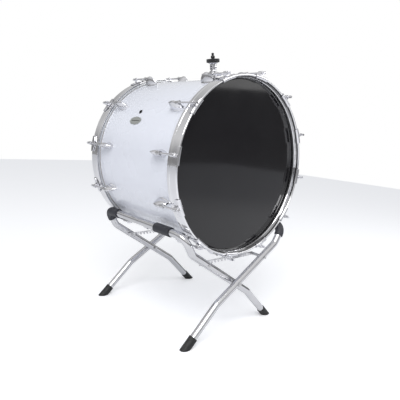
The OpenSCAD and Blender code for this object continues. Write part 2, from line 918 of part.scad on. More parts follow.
module inner_sleeves() {
    color([0.12, 0.12, 0.14]) {
        corner_sleeve(-1, inner_y, sleeve_len - bend_r);
        sleeve([[-rail[0], -82 - sleeve_len, rail[1]], [-rail[0], -82, rail[1]]]);
    }
}

module outer_sleeves() {
    color([0.12, 0.12, 0.14]) {
        corner_sleeve(1, outer_y, sleeve_len - bend_r);
        corner_sleeve(1, -outer_y, sleeve_len - bend_r);
    }
}

// A cap over the tube's end, cut flat where it stands on the floor.
module foot_cap(side, y) {
    low = [-side * foot_x, y, foot_gap];
    up = unit([-side * ankle[0], y, ankle[1]] - low);
    difference() {
        stick(low - up * cap_len, low + up * (cap_len - 8), cap_d / 2);
        stick(low, low + up * cap_len, tube_d / 2 + seat / 2);
        translate([low[0] - 2 * cap_len, y - 2 * cap_len, -2 * cap_len])
            cube([4 * cap_len, 4 * cap_len, 2 * cap_len]);
    }
}

module inner_feet() {
    color([0.1, 0.1, 0.1])
        for (k = [-1, 1]) foot_cap(-1, k * inner_y);
}

module outer_feet() {
    color([0.1, 0.1, 0.1])
        for (k = [-1, 1]) foot_cap(1, k * outer_y);
}

// The pivot bolts: a domed head outside the outer frame, a nut inside the inner one.
module pivot_bolts() {
    from = inner_y - tube_d / 2;
    to = outer_y + tube_d / 2;
    color("silver")
        for (k = [0, 180])
            rotate([0, 0, k])
                translate([0, 0, pivot_z])
                    rotate([90, 0, 0]) {
                        translate([0, 0, from - 7]) cylinder(d = pivot_d, h = to - from + 8, $fn = 32);
                        translate([0, 0, to + 0.6])
                            rotate_extrude($fn = 48)
                                polygon([[0, 0], [8, 0], [7.6, 2], [5.5, 3.6], [0, 4.4]]);
                        translate([0, 0, from - 6.6]) cylinder(d = pivot_nut_w, h = 6, $fn = 6);
                    }
}

module pivot_spacers() {
    color("gainsboro")
        for (k = [0, 180])
            rotate([0, 0, k])
                translate([0, -inner_y - tube_d / 2 - pivot_gap / 2, pivot_z])
                    rotate([90, 0, 0])
                        difference() {
                            cylinder(d = spacer_d, h = pivot_gap - 0.6, center = true, $fn = 48);
                            cylinder(d = pivot_d + 0.1, h = 2 * pivot_gap, center = true, $fn = 32);
                        }
}

// A strap from its bolt on the outer frame to just past the catch pin on the inner one.
module strap() {
    reach = 2 * strap_x();
    tip = reach + notch_pitch;
    difference() {
        union() {
            translate([-tip, -strap_t / 2, -strap_h / 2]) cube([tip, strap_t, strap_h]);
            rotate([90, 0, 0]) cylinder(d = strap_h, h = strap_t, center = true, $fn = 48);
        }
        rotate([90, 0, 0])
            cylinder(d = strap_bolt_d + 2 * thread_play, h = 4 * strap_t, center = true, $fn = 32);
        for (i = [0 : notch_count - 1])
            translate([-reach + i * notch_pitch, 0, 0]) notch();
    }
}

// One notch: upright on the tip's side, sloped on the other, open below, round at its top.
module notch() {
    seat_r = catch_d / 2 + 0.3;
    rotate([90, 0, 0]) {
        cylinder(r = seat_r, h = 4 * strap_t, center = true, $fn = 32);
        linear_extrude(4 * strap_t, center = true)
            polygon([[-seat_r, 0], [-seat_r, -strap_h], [seat_r + notch_slope * strap_h, -strap_h], [seat_r, 0]]);
    }
}

module at_strap(side) {
    translate([strap_x(), -side * strap_y(), strap_z]) children();
}

module front_strap() color("silver") at_strap(1) strap();
module rear_strap() color("silver") at_strap(-1) strap();

// The strap's bolts: through the outer leg, a long shoulder, the strap and a nut.
module strap_bolts() {
    inside = strap_y() - strap_t / 2;
    outside = outer_y + tube_d / 2;
    color("gainsboro")
        for (side = [1, -1])
            mirror([0, side < 0 ? 1 : 0, 0])
                translate([strap_x(), 0, strap_z])
                    rotate([90, 0, 0]) {
                        translate([0, 0, inside - 4.6])
                            cylinder(d = strap_bolt_d, h = outside - inside + 5, $fn = 32);
                        translate([0, 0, strap_y() + strap_t / 2 + 0.3])
                            cylinder(d = shoulder_d, h = outer_y - tube_d / 2 - strap_y() - strap_t / 2 - 0.5, $fn = 32);
                        translate([0, 0, outside + 0.4]) cylinder(d = 11, h = 3, $fn = 32);
                        translate([0, 0, inside - 4.3]) cylinder(d = shoulder_d, h = 4, $fn = 6);
                    }
}

// The catch pins: through the inner leg, with a thin head that keeps the strap on.
module catch_pins() {
    inside = strap_y() - strap_t / 2;
    outside = inner_y + tube_d / 2;
    color("gainsboro")
        for (side = [1, -1])
            mirror([0, side < 0 ? 1 : 0, 0])
                translate([-strap_x(), 0, strap_z])
                    rotate([90, 0, 0]) {
                        translate([0, 0, inside - 1])
                            cylinder(d = catch_d, h = outside - inside + 2, $fn = 32);
                        translate([0, 0, inside - 2.4]) cylinder(d = catch_d + 4, h = 2, $fn = 32);
                        translate([0, 0, outside + 0.4]) cylinder(d = catch_d + 4, h = 2, $fn = 32);
                    }
}

shell();
shell_wrap();
front_hoop();
rear_hoop();
front_head();
rear_head();
front_flesh_hoop();
rear_flesh_hoop();
lugs();
lug_screws();
swivel_nuts();
claws();
claw_pads();
rod_washers();
badge_plate();
vent_grommet();
holder_base();
holder_post();
holder_clamp_screw();
tilter();
tilter_screw();
cymbal_cup();
cymbal_felt();
wing_nut();
inner_frame();
outer_frame();
inner_sleeves();
outer_sleeves();
inner_feet();
outer_feet();
pivot_bolts();
pivot_spacers();
front_strap();
rear_strap();
strap_bolts();
catch_pins();
key_rod(1, 1);  // front_rod_1
key_rod(1, 2);  // front_rod_2
key_rod(1, 3);  // front_rod_3
key_rod(1, 4);  // front_rod_4
key_rod(1, 5);  // front_rod_5
key_rod(1, 6);  // front_rod_6
key_rod(1, 7);  // front_rod_7
key_rod(1, 8);  // front_rod_8
key_rod(1, 9);  // front_rod_9
key_rod(1, 10);  // front_rod_10
key_rod(1, 11);  // front_rod_11
key_rod(1, 12);  // front_rod_12
key_rod(-1, 1);  // rear_rod_1
key_rod(-1, 2);  // rear_rod_2
key_rod(-1, 3);  // rear_rod_3
key_rod(-1, 4);  // rear_rod_4
key_rod(-1, 5);  // rear_rod_5
key_rod(-1, 6);  // rear_rod_6
key_rod(-1, 7);  // rear_rod_7
key_rod(-1, 8);  // rear_rod_8
key_rod(-1, 9);  // rear_rod_9
key_rod(-1, 10);  // rear_rod_10
key_rod(-1, 11);  // rear_rod_11
key_rod(-1, 12);  // rear_rod_12
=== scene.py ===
import bpy
import bmesh
import json
import math
from mathutils import Matrix, Vector


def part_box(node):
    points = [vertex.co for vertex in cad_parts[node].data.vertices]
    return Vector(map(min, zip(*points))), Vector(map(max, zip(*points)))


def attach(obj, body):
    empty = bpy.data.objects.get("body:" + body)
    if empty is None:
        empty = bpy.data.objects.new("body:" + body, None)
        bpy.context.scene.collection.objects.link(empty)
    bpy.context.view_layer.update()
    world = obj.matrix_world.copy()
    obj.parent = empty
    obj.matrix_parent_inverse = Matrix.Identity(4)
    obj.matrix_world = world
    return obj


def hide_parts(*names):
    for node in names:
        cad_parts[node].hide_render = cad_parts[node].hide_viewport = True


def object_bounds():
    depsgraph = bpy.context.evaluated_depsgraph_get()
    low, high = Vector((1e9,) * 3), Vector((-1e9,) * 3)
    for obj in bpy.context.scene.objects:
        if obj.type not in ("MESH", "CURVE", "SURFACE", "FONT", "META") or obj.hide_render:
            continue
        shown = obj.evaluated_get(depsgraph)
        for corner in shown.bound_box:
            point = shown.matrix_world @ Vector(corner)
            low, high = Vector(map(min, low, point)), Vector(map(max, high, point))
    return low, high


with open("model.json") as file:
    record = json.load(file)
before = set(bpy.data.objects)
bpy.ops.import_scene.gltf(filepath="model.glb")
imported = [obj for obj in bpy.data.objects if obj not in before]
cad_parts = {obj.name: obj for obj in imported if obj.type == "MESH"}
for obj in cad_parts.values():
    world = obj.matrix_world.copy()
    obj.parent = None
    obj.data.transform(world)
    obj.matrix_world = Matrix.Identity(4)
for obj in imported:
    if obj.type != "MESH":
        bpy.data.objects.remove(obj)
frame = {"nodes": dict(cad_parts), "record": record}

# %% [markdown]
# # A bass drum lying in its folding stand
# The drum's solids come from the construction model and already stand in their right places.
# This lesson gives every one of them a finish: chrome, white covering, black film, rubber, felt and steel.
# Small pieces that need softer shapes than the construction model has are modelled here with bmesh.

cad_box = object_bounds()
nodes = frame["nodes"]
print("nodes:", len(nodes), "overall box:", [[round(v, 3) for v in p] for p in cad_box])

# %% [markdown]
# ## Helpers for materials
# A material is a small network of nodes. Three short helpers keep the cells readable: one makes a material
# and returns its tree, one adds a node and fills in its inputs, and one joins two sockets.

# %% Material helpers
def material(name):
    """A new node material with only a Principled shader in it, and that shader."""
    mat = bpy.data.materials.new(name)
    mat.use_nodes = True
    tree = mat.node_tree
    shader = next(n for n in tree.nodes if n.type == "BSDF_PRINCIPLED")
    return mat, tree, shader


def add(tree, kind, inputs=None, **settings):
    """A node of one kind, with its settings and its unlinked inputs filled in."""
    node = tree.nodes.new(kind)
    for key, value in settings.items():
        setattr(node, key, value)
    for key, value in (inputs or {}).items():
        node.inputs[key].default_value = value
    return node


def join(tree, source, target):
    """A link from an output socket to an input socket."""
    tree.links.new(source, target)


def ramp(tree, source, stops):
    """A colour ramp over a mask; each stop is a place and a grey level or a colour."""
    node = add(tree, "ShaderNodeValToRGB")
    bar = node.color_ramp
    while len(bar.elements) < len(stops):
        bar.elements.new(0.5)
    for element, (place, colour) in zip(bar.elements, stops):
        element.position = place
        element.color = (*colour, 1) if isinstance(colour, tuple) else (colour, colour, colour, 1)
    join(tree, source, node.inputs["Fac"])
    return node.outputs["Color"]


def span(tree, source, low, high, start=0.0, stop=1.0):
    """Maps a mask from start..stop to low..high."""
    limits = {"From Min": start, "From Max": stop, "To Min": low, "To Max": high}
    node = add(tree, "ShaderNodeMapRange", limits)
    join(tree, source, node.inputs["Value"])
    return node.outputs["Result"]


def blend_colours(tree, mask, first, second, mode="MIX"):
    """Mixes two colours, given as tuples or sockets, by a mask."""
    node = add(tree, "ShaderNodeMix", data_type="RGBA", blend_type=mode)
    if isinstance(mask, float):
        node.inputs["Factor"].default_value = mask
    else:
        join(tree, mask, node.inputs["Factor"])
    for key, colour in (("A", first), ("B", second)):
        sockets = [s for s in node.inputs if s.name == key and s.type == "RGBA"]
        if isinstance(colour, tuple):
            sockets[0].default_value = (*colour, 1)
        else:
            join(tree, colour, sockets[0])
    return [s for s in node.outputs if s.type == "RGBA"][0]


def bump(tree, shader, height, strength, distance):
    """Feeds a height mask to the shader's normal."""
    node = add(tree, "ShaderNodeBump", {"Strength": strength, "Distance": distance})
    join(tree, height, node.inputs["Height"])
    join(tree, node.outputs["Normal"], shader.inputs["Normal"])
    return node


print("material helpers ready")

# %% [markdown]
# ## Effects that several finishes share
# Real surfaces carry the same few traces everywhere: finger smudges that dull a polish, fine scratches,
# and dust that settles where a surface looks up. Each effect is a node group with named inputs, built once.
# A group puts out only masks, so every material decides for itself what a smudge or a scratch does.

# %% The start of a node group
def group(name, inputs, outputs):
    """An empty node group: inputs are (name, default), outputs are names, all plain numbers."""
    tree = bpy.data.node_groups.new(name, "ShaderNodeTree")
    for label, default in inputs:
        socket = tree.interface.new_socket(name=label, in_out="INPUT", socket_type="NodeSocketFloat")
        socket.default_value = default
    for label in outputs:
        tree.interface.new_socket(name=label, in_out="OUTPUT", socket_type="NodeSocketFloat")
    return tree, tree.nodes.new("NodeGroupInput"), tree.nodes.new("NodeGroupOutput")


# %% Smudges: soft cloudy patches and a few finger-sized spots
spots_per_cloud = 2.3


def make_smudges():
    tree, given, out = group("smudges", [("Scale", 12.0), ("Spread", 0.5)], ["Mask"])
    place = add(tree, "ShaderNodeTexCoord")
    cloud = add(tree, "ShaderNodeTexNoise", {"Detail": 5.0, "Roughness": 0.62, "Distortion": 0.4})
    spots = add(tree, "ShaderNodeTexVoronoi", {"Randomness": 1.0}, feature="SMOOTH_F1")
    closer = add(tree, "ShaderNodeMath", operation="MULTIPLY")
    closer.inputs[1].default_value = spots_per_cloud
    both = add(tree, "ShaderNodeMath", operation="MULTIPLY")
    join(tree, place.outputs["Object"], cloud.inputs["Vector"])
    join(tree, place.outputs["Object"], spots.inputs["Vector"])
    join(tree, given.outputs["Scale"], cloud.inputs["Scale"])
    join(tree, given.outputs["Scale"], closer.inputs[0])
    join(tree, closer.outputs[0], spots.inputs["Scale"])
    join(tree, cloud.outputs["Fac"], both.inputs[0])
    join(tree, spots.outputs["Distance"], both.inputs[1])
    edge = add(tree, "ShaderNodeMapRange", {"From Min": 0.08, "To Min": 0.0, "To Max": 1.0})
    join(tree, both.outputs[0], edge.inputs["Value"])
    join(tree, given.outputs["Spread"], edge.inputs["From Max"])
    join(tree, edge.outputs["Result"], out.inputs["Mask"])
    return tree


smudges = make_smudges()
print("group:", smudges.name)

# %% Scratches: long thin noise in three sets, each at its own slant
scratch_sets = ((0.5, (1.0, 18.0, 1.0)), (-0.9, (14.0, 1.0, 1.0)), (1.3, (1.0, 1.0, 16.0)))


def make_scratches():
    tree, given, out = group("scratches", [("Scale", 60.0), ("Amount", 0.5)], ["Height"])
    place = add(tree, "ShaderNodeTexCoord")
    total = None
    for slant, stretch in scratch_sets:
        turn = add(tree, "ShaderNodeMapping")
        turn.inputs["Rotation"].default_value = (slant * 0.6, slant, slant * 1.7)
        turn.inputs["Scale"].default_value = stretch
        line = add(tree, "ShaderNodeTexNoise", {"Detail": 2.0, "Roughness": 0.5})
        join(tree, place.outputs["Object"], turn.inputs["Vector"])
        join(tree, turn.outputs["Vector"], line.inputs["Vector"])
        join(tree, given.outputs["Scale"], line.inputs["Scale"])
        thin = add(tree, "ShaderNodeMapRange", {"From Min": 0.66, "From Max": 0.74})
        join(tree, line.outputs["Fac"], thin.inputs["Value"])
        if total is None:
            total = thin.outputs["Result"]
        else:
            most = add(tree, "ShaderNodeMath", operation="MAXIMUM")
            join(tree, total, most.inputs[0])
            join(tree, thin.outputs["Result"], most.inputs[1])
            total = most.outputs[0]
    scaled = add(tree, "ShaderNodeMath", operation="MULTIPLY")
    join(tree, total, scaled.inputs[0])
    join(tree, given.outputs["Amount"], scaled.inputs[1])
    join(tree, scaled.outputs[0], out.inputs["Height"])
    return tree


scratches = make_scratches()
print("group:", scratches.name)

# %% Dust: settles on faces that look up, broken by fine noise
def make_dust():
    tree, given, out = group("dust", [("Amount", 0.4), ("Scale", 45.0)], ["Mask"])
    shape = add(tree, "ShaderNodeNewGeometry")
    split = add(tree, "ShaderNodeSeparateXYZ")
    place = add(tree, "ShaderNodeTexCoord")
    grain = add(tree, "ShaderNodeTexNoise", {"Detail": 7.0, "Roughness": 0.72})
    up = add(tree, "ShaderNodeMapRange", {"From Min": 0.25, "From Max": 1.0})
    speck = add(tree, "ShaderNodeMapRange", {"From Min": 0.42, "From Max": 0.72})
    both = add(tree, "ShaderNodeMath", operation="MULTIPLY")
    final = add(tree, "ShaderNodeMath", operation="MULTIPLY")
    join(tree, shape.outputs["Normal"], split.inputs["Vector"])
    join(tree, split.outputs["Z"], up.inputs["Value"])
    join(tree, place.outputs["Object"], grain.inputs["Vector"])
    join(tree, given.outputs["Scale"], grain.inputs["Scale"])
    join(tree, grain.outputs["Fac"], speck.inputs["Value"])
    join(tree, up.outputs["Result"], both.inputs[0])
    join(tree, speck.outputs["Result"], both.inputs[1])
    join(tree, both.outputs[0], final.inputs[0])
    join(tree, given.outputs["Amount"], final.inputs[1])
    join(tree, final.outputs[0], out.inputs["Mask"])
    return tree


dust = make_dust()
print("group:", dust.name)

# %% Grain: a fine even pebble for rubber, film and plastic
def make_grain():
    tree, given, out = group("grain", [("Scale", 900.0), ("Coarse", 0.3)], ["Height"])
    place = add(tree, "ShaderNodeTexCoord")
    fine = add(tree, "ShaderNodeTexNoise", {"Detail": 3.0, "Roughness": 0.6})
    cells = add(tree, "ShaderNodeTexVoronoi", {"Randomness": 0.9})
    mixed = add(tree, "ShaderNodeMix", data_type="FLOAT")
    join(tree, place.outputs["Object"], fine.inputs["Vector"])
    join(tree, place.outputs["Object"], cells.inputs["Vector"])
    join(tree, given.outputs["Scale"], fine.inputs["Scale"])
    join(tree, given.outputs["Scale"], cells.inputs["Scale"])
    join(tree, given.outputs["Coarse"], mixed.inputs["Factor"])
    join(tree, fine.outputs["Fac"], mixed.inputs["A"])
    join(tree, cells.outputs["Distance"], mixed.inputs["B"])
    join(tree, mixed.outputs["Result"], out.inputs["Height"])
    return tree


grain = make_grain()
print("group:", grain.name)

# %% [markdown]
# ## Rounded edges
# No real edge is perfectly sharp. Rounding every edge in the mesh would take many faces, so chrome parts get
# it in the shading instead: the Bevel node averages the normals of the two faces near an edge.

# %% A soft normal for a material
bevel_samples = 4


def round_edges(tree, shader, radius):
    """Puts a Bevel node under the material's bump, or straight on the shader."""
    soft = add(tree, "ShaderNodeBevel", {"Radius": radius})
    soft.samples = bevel_samples
    bumps = [n for n in tree.nodes if n.type == "BUMP"]
    target = bumps[0].inputs["Normal"] if bumps else shader.inputs["Normal"]
    join(tree, soft.outputs["Normal"], target)


# %% Placing a group in a material
def place(tree, node_group, **values):
    """The group in a material's tree, with its own values. Returns its first output."""
    node = tree.nodes.new("ShaderNodeGroup")
    node.node_tree = node_group
    for key, value in values.items():
        node.inputs[key].default_value = value
    return node.outputs[0]


# %% [markdown]
# ## Chrome
# Hoops, claws, rods, lugs and tubes are chrome plated. Chrome is a full metal that is nearly white,
# and it looks like chrome only through what it mirrors, so its roughness stays low.
# Smudges raise the roughness in patches, and hair scratches catch the light at some angles.

# %% A chrome finish with its own amount of wear
def chrome(name, tint, rough, worn, smudge_scale, dusty, edge=0.0008):
    mat, tree, shader = material(name)
    shader.inputs["Metallic"].default_value = 1.0
    spots = place(tree, smudges, Scale=smudge_scale, Spread=0.45)
    join(tree, span(tree, spots, rough, rough + worn), shader.inputs["Roughness"])
    clouds = blend_colours(tree, span(tree, spots, 0.0, 0.55), tint, tuple(c * 0.86 for c in tint))
    settled = place(tree, dust, Amount=dusty, Scale=60.0)
    join(tree, blend_colours(tree, settled, clouds, (0.62, 0.61, 0.59)), shader.inputs["Base Color"])
    bump(tree, shader, place(tree, scratches, Scale=70.0, Amount=1.0), 0.12, 0.0002)
    round_edges(tree, shader, edge)
    return mat


hoop_chrome = chrome("hoop chrome", (0.84, 0.84, 0.86), 0.04, 0.06, 9.0, 0.08, 0.0004)
lug_chrome = chrome("lug chrome", (0.78, 0.78, 0.81), 0.06, 0.12, 30.0, 0.12, 0.0010)
tube_chrome = chrome("tube chrome", (0.66, 0.66, 0.68), 0.08, 0.14, 14.0, 0.18, 0.0004)
print("chrome finishes:", hoop_chrome.name, lug_chrome.name, tube_chrome.name)

# %% [markdown]
# ## Plain steel
# Screws, nuts, washers and the notched straps are zinc plated steel. It is duller and greyer than chrome,
# with a mottled crystal look, so a second noise changes the colour and the roughness is higher.

# %% Zinc plated steel
def plated_steel(name, tint, rough, brushed):
    mat, tree, shader = material(name)
    shader.inputs["Metallic"].default_value = 1.0
    spots = place(tree, smudges, Scale=55.0, Spread=0.4)
    join(tree, span(tree, spots, rough, rough + 0.2), shader.inputs["Roughness"])
    dark = tuple(c * 0.72 for c in tint)
    join(tree, blend_colours(tree, spots, tint, dark), shader.inputs["Base Color"])
    lines = place(tree, scratches, Scale=brushed, Amount=1.0)
    bump(tree, shader, lines, 0.25, 0.0003)
    return mat


screw_steel = plated_steel("screw steel", (0.62, 0.62, 0.63), 0.24, 160.0)
strap_steel = plated_steel("strap steel", (0.70, 0.70, 0.72), 0.20, 110.0)
print("steel finishes:", screw_steel.name, strap_steel.name)

# %% [markdown]
# ## White covering
# The shell is wrapped in a glossy white sheet of plastic with a faint blue cast.
# A coat layer gives the hard gloss, and the sheet under it is a little softer.
# A very low orange-peel bump and a few smudges keep the large plain surface from looking computed.

# %% Glossy white covering
clean_white = (0.765, 0.785, 0.850)
smudged_white = (0.755, 0.775, 0.840)


def white_covering():
    mat, tree, shader = material("white covering")
    spots = place(tree, smudges, Scale=6.0, Spread=0.5)
    fine = place(tree, grain, Scale=260.0, Coarse=0.5)
    base = blend_colours(tree, span(tree, spots, 0.0, 1.0), clean_white, smudged_white)
    settled = place(tree, dust, Amount=0.25, Scale=70.0)
    join(tree, blend_colours(tree, settled, base, (0.70, 0.70, 0.68)), shader.inputs["Base Color"])
    join(tree, span(tree, spots, 0.26, 0.32), shader.inputs["Roughness"])
    shader.inputs["Coat Weight"].default_value = 0.5
    shader.inputs["Coat Roughness"].default_value = 0.08
    bump(tree, shader, fine, 0.03, 0.0002)
    return mat


covering = white_covering()
print("finish:", covering.name)

# %% [markdown]
# ## Bare plies
# Under the covering the shell is maple plywood. Its long grain runs around the shell, and its cut edge shows
# the layers as thin light and dark bands. The layers come from the distance to the drum's axis, which a
# vector length gives once the coordinates are centred on the axis. The grain is a noise made fine along the
# drum's axis, so its streaks run around it.

# %% The drum's axis, measured from the shell
shell_low, shell_high = (Vector(p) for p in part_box("shell"))
drum_centre = (shell_low + shell_high) / 2
print("drum centre:", [round(v, 4) for v in drum_centre])


# %% Plywood with layers by radius
ply_thickness = 0.00125
glue_line = (0.0004, 0.0009)
glue_brown = (0.30, 0.18, 0.09)
maple_tones = [(0.3, (0.46, 0.30, 0.16)), (0.5, (0.62, 0.45, 0.27)), (0.7, (0.72, 0.56, 0.36))]


def plywood():
    mat, tree, shader = material("shell plies")
    place_node = add(tree, "ShaderNodeTexCoord")
    centre = add(tree, "ShaderNodeMapping")
    centre.inputs["Location"].default_value = (-drum_centre.x, 0, -drum_centre.z)
    flat = add(tree, "ShaderNodeVectorMath", operation="MULTIPLY")
    flat.inputs[1].default_value = (1, 0, 1)
    radius = add(tree, "ShaderNodeVectorMath", operation="LENGTH")
    join(tree, place_node.outputs["Object"], centre.inputs["Vector"])
    join(tree, centre.outputs["Vector"], flat.inputs[0])
    join(tree, flat.outputs["Vector"], radius.inputs[0])
    layers = add(tree, "ShaderNodeMath", operation="PINGPONG")
    layers.inputs[1].default_value = ply_thickness
    join(tree, radius.outputs["Value"], layers.inputs[0])
    band = span(tree, layers.outputs[0], 0.0, 1.0, *glue_line)
    along = add(tree, "ShaderNodeMapping")
    along.inputs["Scale"].default_value = (3.0, 60.0, 3.0)
    uneven = {"Scale": 4.0, "Detail": 8.0, "Roughness": 0.65, "Distortion": 0.8}
    fibre = add(tree, "ShaderNodeTexNoise", uneven)
    join(tree, place_node.outputs["Object"], along.inputs["Vector"])
    join(tree, along.outputs["Vector"], fibre.inputs["Vector"])
    wood = ramp(tree, fibre.outputs["Fac"], maple_tones)
    layered = blend_colours(tree, span(tree, band, 0.0, 0.35), wood, glue_brown)
    join(tree, layered, shader.inputs["Base Color"])
    join(tree, span(tree, fibre.outputs["Fac"], 0.38, 0.55), shader.inputs["Roughness"])
    bump(tree, shader, fibre.outputs["Fac"], 0.15, 0.0003)
    return mat


shell_plies = plywood()
print("finish:", shell_plies.name)

# %% [markdown]
# ## The two heads
# The batter head is a black film, smooth enough to mirror the room. The rear head is a white coated one.
# A coated head has a sprayed texture like very fine sandpaper, which the grain group gives as a bump.

# %% Black film
film_black = (0.0105, 0.0100, 0.0115)
smudged_black = (0.0125, 0.0120, 0.0135)


def black_film():
    mat, tree, shader = material("black film")
    spots = place(tree, smudges, Scale=7.0, Spread=0.55)
    base = blend_colours(tree, spots, film_black, smudged_black)
    settled = place(tree, dust, Amount=0.3, Scale=90.0)
    join(tree, blend_colours(tree, settled, base, (0.05, 0.05, 0.05)), shader.inputs["Base Color"])
    join(tree, span(tree, spots, 0.06, 0.10), shader.inputs["Roughness"])
    bump(tree, shader, place(tree, grain, Scale=9.0, Coarse=0.0), 0.01, 0.002)
    return mat


# %% White coated film
def coated_film():
    mat, tree, shader = material("coated film")
    spots = place(tree, smudges, Scale=5.0, Spread=0.5)
    coating = blend_colours(tree, spots, (0.78, 0.77, 0.74), (0.72, 0.71, 0.67))
    join(tree, coating, shader.inputs["Base Color"])
    join(tree, span(tree, spots, 0.55, 0.72), shader.inputs["Roughness"])
    bump(tree, shader, place(tree, grain, Scale=1100.0, Coarse=0.7), 0.35, 0.0004)
    return mat


batter_film = black_film()
rear_film = coated_film()
print("films:", batter_film.name, rear_film.name)

# %% [markdown]
# ## Rubber, felt and moulded plastic
# Sleeves, feet and claw pads are black rubber: dark, rough and a little dusty where it looks up.
# Felt is darker still and has no gloss, only a soft sheen from its fibres. The wing nut and the vent's
# grommet are moulded plastic with a satin skin.

# %% Rubber
def rubber(name, tint, rough, pebble):
    mat, tree, shader = material(name)
    spots = place(tree, smudges, Scale=35.0, Spread=0.45)
    base = blend_colours(tree, spots, tint, tuple(c * 1.5 for c in tint))
    settled = place(tree, dust, Amount=0.45, Scale=120.0)
    join(tree, blend_colours(tree, settled, base, (0.16, 0.155, 0.15)), shader.inputs["Base Color"])
    join(tree, span(tree, spots, rough, rough + 0.18), shader.inputs["Roughness"])
    bump(tree, shader, place(tree, grain, Scale=pebble, Coarse=0.6), 0.30, 0.0004)
    return mat


sleeve_rubber = rubber("sleeve rubber", (0.020, 0.021, 0.028), 0.46, 700.0)
foot_rubber = rubber("foot rubber", (0.006, 0.006, 0.007), 0.50, 600.0)
pad_rubber = rubber("pad rubber", (0.025, 0.025, 0.026), 0.55, 900.0)
print("rubbers:", sleeve_rubber.name, foot_rubber.name, pad_rubber.name)


# %% Felt
def felt():
    mat, tree, shader = material("black felt")
    fuzz = place(tree, grain, Scale=2200.0, Coarse=0.2)
    clumps = place(tree, smudges, Scale=90.0, Spread=0.5)
    fibres = blend_colours(tree, clumps, (0.012, 0.012, 0.013), (0.030, 0.030, 0.032))
    join(tree, fibres, shader.inputs["Base Color"])
    shader.inputs["Roughness"].default_value = 0.95
    shader.inputs["Sheen Weight"].default_value = 0.25
    shader.inputs["Sheen Roughness"].default_value = 0.5
    bump(tree, shader, fuzz, 0.8, 0.0009)
    return mat


# %% Moulded plastic
def moulded(name, tint, rough):
    mat, tree, shader = material(name)
    spots = place(tree, smudges, Scale=60.0, Spread=0.5)
    join(tree, blend_colours(tree, spots, tint, tuple(c * 1.4 for c in tint)), shader.inputs["Base Color"])
    join(tree, span(tree, spots, rough, rough + 0.15), shader.inputs["Roughness"])
    bump(tree, shader, place(tree, grain, Scale=1500.0, Coarse=0.5), 0.12, 0.0002)
    return mat


felt_black = felt()
nut_black = moulded("moulded nut", (0.020, 0.020, 0.021), 0.30)
grommet_black = moulded("grommet", (0.018, 0.018, 0.019), 0.38)
print("soft finishes:", felt_black.name, nut_black.name, grommet_black.name)

# %% [markdown]
# ## Brushed badge metal and mill aluminium
# The badge is a small oval plate of brushed metal, and it is left bare. The flesh hoops are rolled aluminium.
# Brushed metal has its lines in one direction, so the noise is stretched along the drum's axis.

# %% Brushed metal
def brushed(name, tint, rough, stretch, scale):
    mat, tree, shader = material(name)
    shader.inputs["Metallic"].default_value = 1.0
    place_node = add(tree, "ShaderNodeTexCoord")
    lengthen = add(tree, "ShaderNodeMapping")
    lengthen.inputs["Scale"].default_value = stretch
    lines = add(tree, "ShaderNodeTexNoise", {"Scale": scale, "Detail": 4.0, "Roughness": 0.7})
    join(tree, place_node.outputs["Object"], lengthen.inputs["Vector"])
    join(tree, lengthen.outputs["Vector"], lines.inputs["Vector"])
    dark = tuple(c * 0.8 for c in tint)
    join(tree, blend_colours(tree, lines.outputs["Fac"], dark, tint), shader.inputs["Base Color"])
    join(tree, span(tree, lines.outputs["Fac"], rough, rough + 0.2), shader.inputs["Roughness"])
    bump(tree, shader, lines.outputs["Fac"], 0.12, 0.0002)
    return mat


badge_metal = brushed("badge metal", (0.58, 0.60, 0.58), 0.28, (30.0, 1.0, 30.0), 60.0)
ring_aluminium = brushed("ring aluminium", (0.72, 0.73, 0.74), 0.32, (1.0, 40.0, 1.0), 40.0)
print("brushed:", badge_metal.name, ring_aluminium.name)

# %% [markdown]
# ## Finishes for the carried-over solids
# The table says which finish each node of the construction model takes. A node keeps its mesh and its place;
# only its material slot changes.

# %% One finish for each node; the tension rods aren't in the table and take the lugs' chrome
finish_of = {
    "shell": shell_plies, "shell_wrap": covering, "front_hoop": hoop_chrome, "rear_hoop": hoop_chrome,
    "front_head": batter_film, "rear_head": rear_film, "front_flesh_hoop": ring_aluminium,
    "rear_flesh_hoop": ring_aluminium, "lugs": lug_chrome, "lug_screws": screw_steel,
    "swivel_nuts": screw_steel, "claws": lug_chrome, "claw_pads": pad_rubber, "rod_washers": screw_steel,
    "badge_plate": badge_metal, "vent_grommet": grommet_black, "holder_base": lug_chrome,
    "holder_post": lug_chrome, "holder_clamp_screw": lug_chrome, "tilter": lug_chrome,
    "tilter_screw": lug_chrome, "cymbal_cup": lug_chrome, "cymbal_felt": felt_black,
    "wing_nut": nut_black, "inner_frame": tube_chrome, "outer_frame": tube_chrome,
    "inner_sleeves": sleeve_rubber, "outer_sleeves": sleeve_rubber, "inner_feet": foot_rubber,
    "outer_feet": foot_rubber, "pivot_bolts": screw_steel, "pivot_spacers": screw_steel,
    "front_strap": strap_steel, "rear_strap": strap_steel, "strap_bolts": screw_steel,
    "catch_pins": screw_steel,
}
for name, node in nodes.items():
    chosen = finish_of.get(name, lug_chrome)
    node.data.materials.clear()
    node.data.materials.append(chosen)
print("finished nodes:", len(nodes))

# %% [markdown]
# ## Where the tension points are
# Each tension rod has a joint in the construction model, and its place gives everything that repeats around
# the drum: the angle and the side. The lug is modelled once, lying at the top of the drum, and a matrix then
# takes a copy to each rod.
# In that local frame x is across, y is the depth from the rim and z is the distance from the axis.

# %% Rod joints and the local frame
rim_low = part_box("front_hoop")[0][1]
rim_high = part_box("rear_hoop")[1][1]
skin_radius = (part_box("shell_wrap")[1][0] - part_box("shell_wrap")[0][0]) / 2
rod_joints = [j for j in frame["record"]["behaviour"]["joints"] if "_rod_" in j["name"]]


